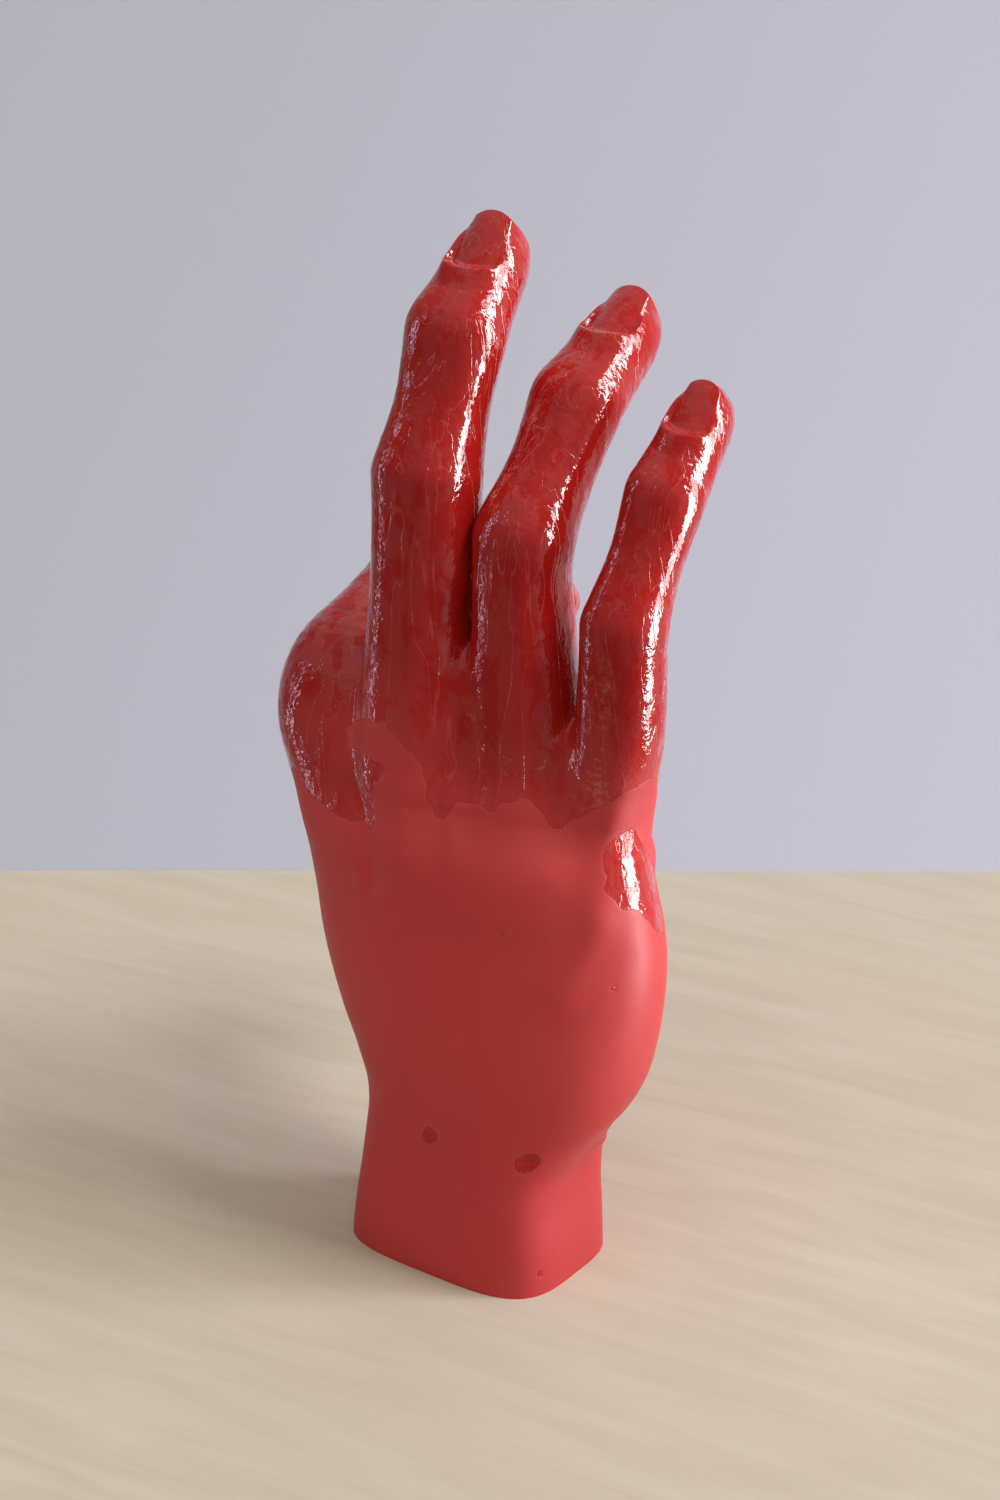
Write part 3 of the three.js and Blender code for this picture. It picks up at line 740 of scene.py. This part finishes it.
def section(theta, name):
    """Points around a digit of unit size."""
    c, s = np.cos(theta), np.sin(theta)
    n = squareness(name, c, s)
    return np.sign(c) * np.abs(c) ** (2 / n), np.sign(s) * np.abs(s) ** (2 / n)


# Nail: gap to the fingertip, bows of fold and free edge, half of the blur of its border, how deep the plate
# lies at the root and how far it climbs, and its curve across as a multiple of its half breadth
NAIL_GAP, FOLD_BOW, FREE_BOW, NAIL_BLUR = 0.7, 1.7, 2.2, 0.22
PLATE_SINK, PLATE_CLIMB, PLATE_CURVE = 0.5, 0.75, 1.65
# Fold over the root with the dip before it (place, width, depth), and the flanks and grooves beside the nail
HOOD_WIDTH, HOOD_RUN, DIP = 3.6, 3, (7, 2, 0.3)
FLANK_RISE, FLANK_WIDTH = 0.25, 1.6
GROOVE_OFF, GROOVE_DEPTH, GROOVE_WIDTH = 0.2, 0.25, 0.5


def nail(digit, p):
    """Sinks the nail into the back of the end bone under its fold and lets its free edge stand up."""
    size = NAILS[digit.name]
    half, length = size["half"], size["length"]
    joint, tip = digit.joints[-2], digit.joints[-1]
    shift = digit.frame_at(digit.length)[0] - tip
    along = unit(tip - joint)
    across = unit(digit.hinge - along * (along @ digit.hinge))
    back = np.cross(across, along)
    q = p - joint - shift
    a, u, v = q @ along, np.abs(q @ across), q @ back
    end = np.linalg.norm(tip - joint) - NAIL_GAP
    start = end - length
    t = np.clip((a - start) / length, 0, 1)
    width = half * (0.95 + 0.1 * t - 0.3 * t**2)
    fold = start + FOLD_BOW * (u / half) ** 2
    free = end - FREE_BOW * (u / half) ** 2
    inside = np.minimum.reduce([0.5 * (width - u), 0.2 * (a - fold), free - a])
    amount = smooth((inside + NAIL_BLUR) / (2 * NAIL_BLUR))
    rise = digit.half(np.array([digit.length - length]))[2][0]
    curve = half * PLATE_CURVE
    plate = (rise - PLATE_SINK + PLATE_CLIMB * t - size["droop"] * t**4 - curve
             + np.sqrt(np.maximum(curve**2 - np.minimum(u, half + 1) ** 2, 0.1)))
    beside = smooth((a - start) / 2)
    before = np.maximum(fold - a, 0)
    dip_place, dip_width, dip_depth = DIP
    hood = hump(before, HOOD_WIDTH) - dip_depth * hump(before - dip_place, dip_width)
    hood = hood * smooth((half + 1.8 - u) / 2.2) * smooth((fold + 2.5 - a) / HOOD_RUN)
    flank = FLANK_RISE * hump(np.maximum(u - width, 0), FLANK_WIDTH)
    flank = flank * beside * smooth((free - 1 - a) / 3)
    groove = GROOVE_DEPTH * hump(u - width - GROOVE_OFF, GROOVE_WIDTH)
    groove = groove * beside * smooth((free + 1 - a) / 2)
    move = amount * (plate - v) + (1 - amount) * size["fold"] * np.maximum(hood, flank) - groove
    return p + back * np.where(v > 0, move, 0)[:, None]


# The end of a digit has finer rings over this length, their step as a share of the others; rings over the
# rounded tip; and how far past the last joint the nail's forms may start
FINE_END, FINE_SHARE, TIP_RINGS, NAIL_FROM = 9, 0.7, 1.7, 2
# Squareness of the rounded tip on the back; sides and pad are round
TIP_SQUARE = 3.2


def make_digit(name, step, sides, node):
    digit = digits[name]
    shoulder = digit.length - digit.round
    start = digit.seat + SEAM
    fine_from = shoulder - FINE_END
    straight = np.concatenate([np.linspace(start, fine_from, int((fine_from - start) / step) + 1)[:-1],
                               np.linspace(fine_from, shoulder, int(FINE_END / (step * FINE_SHARE)) + 1)])
    turn = np.linspace(0, math.pi / 2, int(digit.round * TIP_RINGS / step) + 2)[1:-1]
    s = np.concatenate([straight, shoulder + digit.round * np.sin(turn)])
    x = np.concatenate([np.zeros(len(straight)), np.sin(turn)])
    theta = 2 * np.pi * np.arange(sides) / sides
    u, v = section(theta, name)
    thumb_side, little_side, back, pad = digit.half(s)
    centre, along, across, inward = digit.frame(s)
    closing = np.sqrt(1 - x**2)
    back_closing = (1 - x**TIP_SQUARE) ** (1 / TIP_SQUARE)
    wide = np.where(u > 0, (little_side * closing)[:, None], (thumb_side * closing)[:, None])
    deep = np.where(v > 0, (pad * closing)[:, None], (back * back_closing)[:, None])
    points = (centre[:, None] + across[:, None] * (u * wide)[..., None]
              + inward[:, None] * (v * deep)[..., None])
    rings = len(s)
    tip = digit.frame(np.array([digit.length]))[0]
    points = np.concatenate([points.reshape(-1, 3), tip])
    last_bone = np.concatenate([np.repeat(s, sides), [digit.length]]) > digit.places[-3] + NAIL_FROM
    points[last_bone] = nail(digit, points[last_bone])
    i, j = np.meshgrid(np.arange(rings - 1), np.arange(sides), indexing="ij")
    a, b = i * sides + j, i * sides + (j + 1) % sides
    faces = np.stack([a, b, b + sides, a + sides], -1).reshape(-1, 4).tolist()
    last = (rings - 1) * sides
    faces += [[last + k, last + (k + 1) % sides, len(points) - 1] for k in range(sides)]
    piece = add_piece(node + "_body", points, faces)
    bm = bmesh.new()
    bm.from_mesh(piece.data)
    rim = [e for e in bm.edges if e.is_boundary]
    sink_bore(bm, rim, digit.frame_at(start), BORE_IN_DIGIT)
    finish_mesh(bm, piece.data)
    add_lacquer(piece, WELL_INSIDE)
    return piece


# Millimetres from ring to ring and points around each digit
MESHING = dict(index=(0.5, 110), middle=(0.4, 140), ring=(0.4, 136), little=(0.4, 116), thumb=(0.5, 120))
pieces = {"palm_casting": make_palm()}
for name, (step, sides) in MESHING.items():
    node = "thumb" if name == "thumb" else name + "_finger"
    pieces[node] = make_digit(name, step, sides, node)


# Materials

class Shade:
    """Short calls for the nodes of one material."""

    def __init__(self, name):
        self.material = bpy.data.materials.new(name)
        self.material.use_nodes = True
        self.nodes = self.material.node_tree.nodes
        self.shader = self.nodes["Principled BSDF"]
        self.place = self.nodes.new("ShaderNodeTexCoord").outputs["Object"]

    def put(self, source, socket):
        if isinstance(source, bpy.types.NodeSocket):
            self.material.node_tree.links.new(source, socket)
        else:
            socket.default_value = source

    def noise(self, scale, detail=2.0, rough=0.5, warp=0.0):
        """Noise over the object, scale in features per metre along x, y and z."""
        mapping = self.nodes.new("ShaderNodeMapping")
        mapping.inputs["Scale"].default_value = scale
        self.put(self.place, mapping.inputs["Vector"])
        node = self.nodes.new("ShaderNodeTexNoise")
        self.put(mapping.outputs["Vector"], node.inputs["Vector"])
        node.inputs["Scale"].default_value = 1.0
        node.inputs["Detail"].default_value = detail
        node.inputs["Roughness"].default_value = rough
        node.inputs["Distortion"].default_value = warp
        return node.outputs["Fac"]

    def math(self, operation, a, b=0.0):
        node = self.nodes.new("ShaderNodeMath")
        node.operation = operation
        self.put(a, node.inputs[0])
        self.put(b, node.inputs[1])
        return node.outputs[0]

    def ramp(self, value, low, high, to_low=0.0, to_high=1.0, kind="SMOOTHSTEP"):
        node = self.nodes.new("ShaderNodeMapRange")
        node.interpolation_type = kind
        self.put(value, node.inputs["Value"])
        for key, number in (("From Min", low), ("From Max", high), ("To Min", to_low), ("To Max", to_high)):
            self.put(number, node.inputs[key])
        return node.outputs["Result"]

    def mix(self, factor, a, b):
        node = self.nodes.new("ShaderNodeMix")
        node.data_type = "RGBA"
        self.put(factor, node.inputs["Factor"])
        for key, colour in (("A", a), ("B", b)):
            socket = [i for i in node.inputs if i.name == key and i.type == "RGBA"][0]
            self.put(colour if isinstance(colour, bpy.types.NodeSocket) else (*colour, 1), socket)
        return [o for o in node.outputs if o.type == "RGBA"][0]

    def blend(self, factor, a, b):
        """Number from a to b by the factor."""
        return self.ramp(factor, 0.0, 1.0, a, b, "LINEAR")

    def height(self):
        """Height over the base in metres."""
        node = self.nodes.new("ShaderNodeSeparateXYZ")
        self.put(self.place, node.inputs[0])
        return node.outputs["Z"]

    def bump(self, height, depth):
        """Relief of a height from 0 to 1, depth in metres."""
        node = self.nodes.new("ShaderNodeBump")
        node.inputs["Strength"].default_value = 1.0
        node.inputs["Distance"].default_value = depth
        self.put(height, node.inputs["Height"])
        self.put(node.outputs["Normal"], self.shader.inputs["Normal"])
        self.put(node.outputs["Normal"], self.shader.inputs["Coat Normal"])


# Reds of the satin resin, of its low wrist with painted shade, and of the lacquer: thick, thin, and the
# painted reflection on its dried outlines
SATIN = (0.62, 0.056, 0.05), (0.68, 0.067, 0.06)
SATIN_LOW_SHADE = (0.54, 0.045, 0.043), (0.59, 0.053, 0.051)
LACQUER = (0.47, 0.014, 0.01), (0.43, 0.011, 0.008)
LACQUER_THIN, LACQUER_OUTLINE_REFLECTION = (0.58, 0.034, 0.028), (0.66, 0.08, 0.06)
# Heights in metres between which the low wrist and its painted shade end, and millimetres from the edge to
# thick lacquer
LOW_WRIST, THICK_FROM = (0.02, 0.06), 14.0


def resin():
    """Satin resin, and gloss lacquer where the depth kept with the points is above 0."""
    m = Shade("lacquered_resin")
    attribute = m.nodes.new("ShaderNodeAttribute")
    attribute.attribute_name = "lac"
    ragged = m.math("MULTIPLY", m.math("SUBTRACT", m.noise((1300, 1300, 1300), 3.0, 0.6), 0.5), 0.5)
    depth = m.math("ADD", attribute.outputs["Fac"], ragged)
    wet = m.ramp(depth, -0.06, 0.06)
    rim = m.ramp(depth, 0.0, 0.9)
    # Satin resin: a soft coral red, a little uneven
    uneven = m.noise((45, 45, 30), 3.0)
    satin = m.mix(uneven, *SATIN)
    # Painted shade: the satin turns to a darker red towards the bottom of the wrist
    low = m.ramp(m.height(), *LOW_WRIST, 1.0, 0.0)
    satin = m.mix(low, satin, m.mix(uneven, *SATIN_LOW_SHADE))
    # Lacquer: deeper red, thicker and thinner in long runs, with thin raised outlines where runs dried that
    # carry a painted reflection
    runs = m.noise((420, 420, 40), 2.0, 0.5, 0.3)
    outline = m.noise((160, 160, 14), 3.0, 0.55, 0.5)
    edge = m.ramp(m.math("ABSOLUTE", m.math("SUBTRACT", outline, 0.5)), 0.0, 0.012, 1.0, 0.0)
    thick = m.mix(m.ramp(runs, 0.3, 0.7), *LACQUER)
    built_up = m.math("MAXIMUM", m.ramp(depth, 0.0, THICK_FROM, kind="LINEAR"), low)
    gloss = m.mix(built_up, LACQUER_THIN, thick)
    # Painted reflection: a lighter red along the raised outlines
    gloss = m.mix(m.math("MULTIPLY", edge, 0.5), gloss, LACQUER_OUTLINE_REFLECTION)
    m.put(m.mix(wet, satin, gloss), m.shader.inputs["Base Color"])
    grain = m.noise((900, 900, 900), 2.0)
    satin_rough = m.ramp(grain, 0.2, 0.8, 0.4, 0.5)
    gloss_rough = m.ramp(m.noise((500, 500, 45), 4.0, 0.6), 0.5, 0.9, 0.05, 0.12)
    m.put(m.blend(wet, satin_rough, gloss_rough), m.shader.inputs["Roughness"])
    patches = m.ramp(m.noise((240, 240, 120), 4.0, 0.6, 0.4), 0.44, 0.5, 0.2, 1.0)
    coat = m.math("MULTIPLY", patches, m.math("SUBTRACT", 1.0, low))
    m.put(m.math("MULTIPLY", wet, coat), m.shader.inputs["Coat Weight"])
    m.shader.inputs["Coat Roughness"].default_value = 0.04
    m.shader.inputs["Specular IOR Level"].default_value = 0.2
    # Relief: runs, outlines and small lumps that break the highlights, and a fine peel on the satin
    lumps = m.noise((700, 700, 620), 2.0, 0.5)
    relief = m.math("ADD", runs, m.math("MULTIPLY", lumps, 1.8))
    relief = m.math("ADD", relief, m.math("MULTIPLY", edge, 0.25))
    peel = m.math("MULTIPLY", grain, 0.05)
    m.bump(m.math("ADD", m.blend(wet, peel, relief), m.math("MULTIPLY", rim, 0.5)), 0.0001)
    return m.material


def plain(name, dark, light, roughness, metallic, scale):
    """One material with a grain, for the pieces inside."""
    m = Shade(name)
    grain = m.noise(scale, 3.0, 0.6)
    m.put(m.mix(grain, dark, light), m.shader.inputs["Base Color"])
    m.put(m.blend(grain, roughness - 0.12, roughness + 0.12), m.shader.inputs["Roughness"])
    m.shader.inputs["Metallic"].default_value = metallic
    m.bump(grain, 0.00005)
    return m.material


skin = resin()
for node, piece in pieces.items():
    piece.data.materials.append(skin)
    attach(piece, "root")
    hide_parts(node)

INNER = {
    "dowel_steel": dict(dark=(0.36, 0.37, 0.38), light=(0.5, 0.51, 0.52), roughness=0.35, metallic=1.0,
                        scale=(900, 900, 60)),
    "ballast_iron": dict(dark=(0.05, 0.048, 0.046), light=(0.1, 0.097, 0.093), roughness=0.6, metallic=1.0,
                         scale=(400, 400, 400)),
    "plug_resin": dict(dark=(0.2, 0.032, 0.026), light=(0.3, 0.05, 0.04), roughness=0.6, metallic=0.0,
                       scale=(120, 700, 300)),
}
inner = {name: plain(name, **look) for name, look in INNER.items()}
for name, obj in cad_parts.items():
    if name.endswith("_dowel"):
        obj.data.materials[0] = inner["dowel_steel"]
    elif name == "ballast_slug":
        obj.data.materials[0] = inner["ballast_iron"]
    elif name == "base_plug":
        obj.data.materials[0] = inner["plug_resin"]


# Floor, backdrop, light and camera

CAMERA_TURN = math.radians(28)
VIEW = Vector((-math.sin(CAMERA_TURN), math.cos(CAMERA_TURN), 0))
RIGHT = Vector((math.cos(CAMERA_TURN), math.sin(CAMERA_TURN), 0))
UP = Vector((0, 0, 1))
HAND = UP * 0.1
CAMERA = dict(back=0.525, height=0.328, tilt=67.2, lens=72, shift=0.012)
# Colours of the board and the wall, each with that of its clouds; the wall's lighter first colour is painted
# light low down
WOOD, WOOD_CLOUD = ((0.54, 0.475, 0.36), (0.61, 0.55, 0.43)), (0.56, 0.485, 0.375)
WALL_PAINTED_LIGHT, PAINT_CLOUD = ((0.68, 0.68, 0.72), (0.52, 0.515, 0.545)), (0.6, 0.6, 0.63)
# Light of the room: its level all round, and its gains towards a direction between two cosines
ROOM_COLOUR, ROOM_LEVEL = (1.0, 0.98, 0.95), 0.19
ROOM_GAINS = [(UP, 0.3, 0.95, 0.3), (RIGHT, 0.3, 1.0, 0.45)]


def sheet(name, corners):
    """A flat piece of the stage; gives back its material."""
    mesh = bpy.data.meshes.new(name)
    mesh.from_pydata(corners, [], [(0, 1, 2, 3)])
    obj = bpy.data.objects.new(name, mesh)
    bpy.context.scene.collection.objects.link(obj)
    m = Shade(name)
    mesh.materials.append(m.material)
    return m


def floor():
    """A pale wooden board under the hand."""
    far, near, half = VIEW * 0.175, VIEW * -0.135, RIGHT * 0.16
    m = sheet("floor", [near - half, near + half, far + half, far - half])
    grain = m.noise((18, 130, 18), 4.0, 0.6, 0.6)
    cloud = m.noise((5, 9, 5), 3.0)
    wood = m.mix(m.ramp(grain, 0.25, 0.75), *WOOD)
    clouded = m.mix(m.ramp(cloud, 0.3, 0.7, 0.0, 0.4), wood, WOOD_CLOUD)
    m.put(clouded, m.shader.inputs["Base Color"])
    m.put(m.ramp(grain, 0.2, 0.8, 0.75, 0.9), m.shader.inputs["Roughness"])
    m.shader.inputs["Specular IOR Level"].default_value = 0.0
    m.bump(grain, 0.0002)


def backdrop():
    """A plain wall behind, made a little lighter low down by painted light, with a faint painted glow."""
    wall, side = VIEW * 0.9, RIGHT * 2
    low, high = UP * -1.2, UP * 1.5
    m = sheet("backdrop", [wall - side + low, wall + side + low, wall + side + high, wall - side + high])
    # Painted light: the wall grows lighter towards the bottom
    rise = m.ramp(m.height(), -0.35, 0.25, 0.0, 1.0, "LINEAR")
    cloud = m.noise((2, 2, 2), 3.0)
    wall_painted_light = m.mix(rise, *WALL_PAINTED_LIGHT)
    clouded = m.mix(m.ramp(cloud, 0.3, 0.7, 0.0, 0.12), wall_painted_light, PAINT_CLOUD)
    m.put(clouded, m.shader.inputs["Base Color"])
    # Painted glow: the wall gives off a little light in its own colour
    m.put(wall_painted_light, m.shader.inputs["Emission Color"])
    m.shader.inputs["Emission Strength"].default_value = 0.05
    m.shader.inputs["Roughness"].default_value = 0.9


floor()
backdrop()


def lamp(name, place, target, size, power, colour, diffuse=True, glossy=True):
    """A rectangular lamp that lights surfaces, shows in the lacquer, or both."""
    data = bpy.data.lights.new(name, "AREA")
    data.shape = "RECTANGLE"
    data.size, data.size_y = size
    data.energy = power
    data.color = colour
    obj = bpy.data.objects.new(name, data)
    obj.location = place
    obj.rotation_euler = (target - place).to_track_quat("-Z", "Y").to_euler()
    obj.visible_camera = False
    obj.visible_diffuse, obj.visible_glossy = diffuse, glossy
    bpy.context.scene.collection.objects.link(obj)


# A tall window at the right, once as light on the hand and once as its image in the lacquer, with the sky
# over it; the narrow image of a window at the left; and soft light from behind the camera
lamp("window", RIGHT * 1.86 + VIEW * -0.06 + UP * 0.5, target=UP * 0.5, size=(0.42, 3.0),
     power=38, colour=(0.98, 0.94, 1.25), glossy=False)
lamp("pane", RIGHT * 1.78 + VIEW * -0.55 + UP * 0.4, target=UP * 0.4, size=(0.8, 2.8),
     power=140, colour=(1.0, 1.0, 1.0), diffuse=False)
lamp("sky", RIGHT * 1.2 + VIEW * -0.4 + UP * 1.9, target=HAND, size=(0.7, 0.7),
     power=21, colour=(1.0, 0.99, 0.98))
lamp("side_window", RIGHT * -1.8 + VIEW * 0.1 + UP * 0.3, target=UP * 0.3, size=(0.1, 2.2),
     power=4, colour=(0.8, 0.7, 1.0), diffuse=False)
lamp("fill", VIEW * -1.2 + RIGHT * -0.6 + UP * 1.6, target=HAND, size=(2.0, 2.0),
     power=8.5, colour=(1.0, 0.97, 0.92), glossy=False)


def room():
    """Soft light of a room, brighter above and to the right."""
    world = bpy.data.worlds.new("room")
    world.use_nodes = True
    tree = world.node_tree
    where = tree.nodes.new("ShaderNodeTexCoord").outputs["Generated"]
    total = None
    for direction, low, high, amount in ROOM_GAINS:
        dot = tree.nodes.new("ShaderNodeVectorMath")
        dot.operation = "DOT_PRODUCT"
        tree.links.new(where, dot.inputs[0])
        dot.inputs[1].default_value = direction
        ramp = tree.nodes.new("ShaderNodeMapRange")
        ramp.interpolation_type = "SMOOTHSTEP"
        tree.links.new(dot.outputs["Value"], ramp.inputs["Value"])
        ramp.inputs["From Min"].default_value = low
        ramp.inputs["From Max"].default_value = high
        ramp.inputs["To Max"].default_value = amount
        add = tree.nodes.new("ShaderNodeMath")
        add.inputs[1].default_value = ROOM_LEVEL
        tree.links.new(ramp.outputs["Result"], add.inputs[0])
        if total is not None:
            tree.links.new(total, add.inputs[1])
        total = add.outputs[0]
    background = tree.nodes["Background"]
    background.inputs["Color"].default_value = (*ROOM_COLOUR, 1)
    tree.links.new(total, background.inputs["Strength"])
    bpy.context.scene.world = world


room()

camera_data = bpy.data.cameras.new("photo_camera")
camera_data.sensor_fit = "AUTO"
camera_data.sensor_width = 36
camera_data.lens = CAMERA["lens"]
camera_data.shift_x = CAMERA["shift"]
camera_data.clip_start = 0.01
camera = bpy.data.objects.new("photo_camera", camera_data)
camera.location = VIEW * -CAMERA["back"] + UP * CAMERA["height"]
camera.rotation_euler = (math.radians(CAMERA["tilt"]), 0, CAMERA_TURN)
bpy.context.scene.collection.objects.link(camera)
bpy.context.scene.camera = camera
bpy.context.scene.view_settings.view_transform = "Standard"
